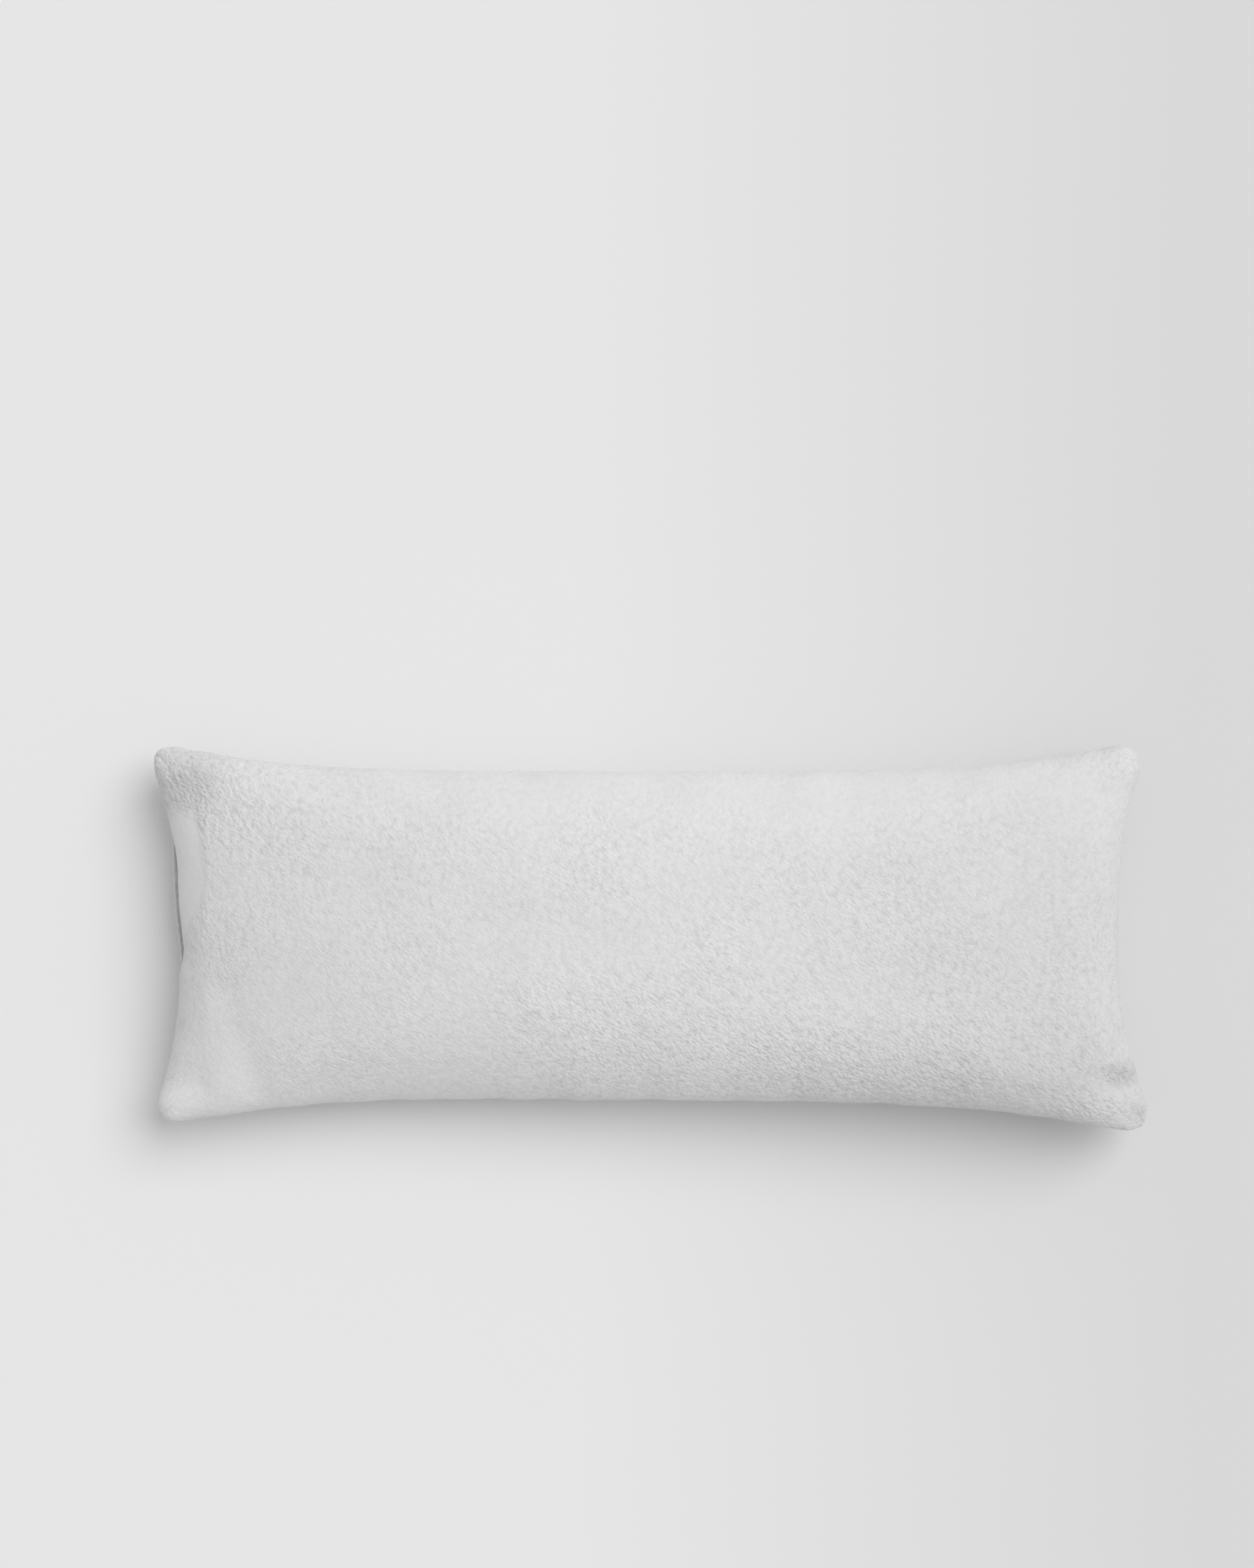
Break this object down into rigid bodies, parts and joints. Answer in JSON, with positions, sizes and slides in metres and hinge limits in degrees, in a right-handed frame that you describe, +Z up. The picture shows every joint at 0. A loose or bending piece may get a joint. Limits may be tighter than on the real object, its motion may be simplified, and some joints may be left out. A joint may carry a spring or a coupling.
{
  "type": "bed_pillow",
  "caption": "Long body pillow in pale grey fleece with pulled-in sides, a zip in one end seam and a fibre-filled cotton insert",
  "frame": {"origin": "on the floor under the middle of the pillow's box, at rest", "axes": "+X along the pillow away from the zip, +Y across it, +Z up"},
  "size_m": [1.3326, 0.508, 0.19],
  "materials": {
    "fleece": "short curly pile, matte",
    "ticking": "plain woven cotton",
    "fibre": "loose polyester fibre",
    "thread": "overlocked stitches",
    "label_cloth": "blank satin tape",
    "zip_cloth": "herringbone tape",
    "zip_plastic": "nylon coil",
    "zip_metal": "plated, lightly brushed"
  },
  "bodies": {
    "pillow": {"cover_top_panel": "fleece", "cover_bottom_panel": "fleece", "cover_seam_thread": "thread", "care_label": "label_cloth", "insert_top_panel": "ticking", "insert_bottom_panel": "ticking", "insert_seam_thread": "thread", "insert_label": "label_cloth", "fibre_fill": "fibre", "zip_tape_upper": "zip_cloth", "zip_tape_lower": "zip_cloth", "zip_coil_upper": "zip_plastic", "zip_coil_lower": "zip_plastic", "zip_top_stop_upper": "zip_metal", "zip_top_stop_lower": "zip_metal", "zip_bottom_stop": "zip_metal"},
    "slider": {"zip_slider": "zip_metal"},
    "pull_tab": {"zip_pull_tab": "zip_metal"}
  },
  "joints": [
    {"name": "slider_travel", "type": "slide", "parent": "pillow", "child": "slider", "axis": [0, 1, 0], "range_m": [0, 0.276]},
    {"name": "pull_tab_flip", "type": "hinge", "parent": "slider", "child": "pull_tab", "pos_m": [-0.62776, -0.138, 0.08], "axis": [0, 0, 1], "range_deg": [0, 180]}
  ]
}
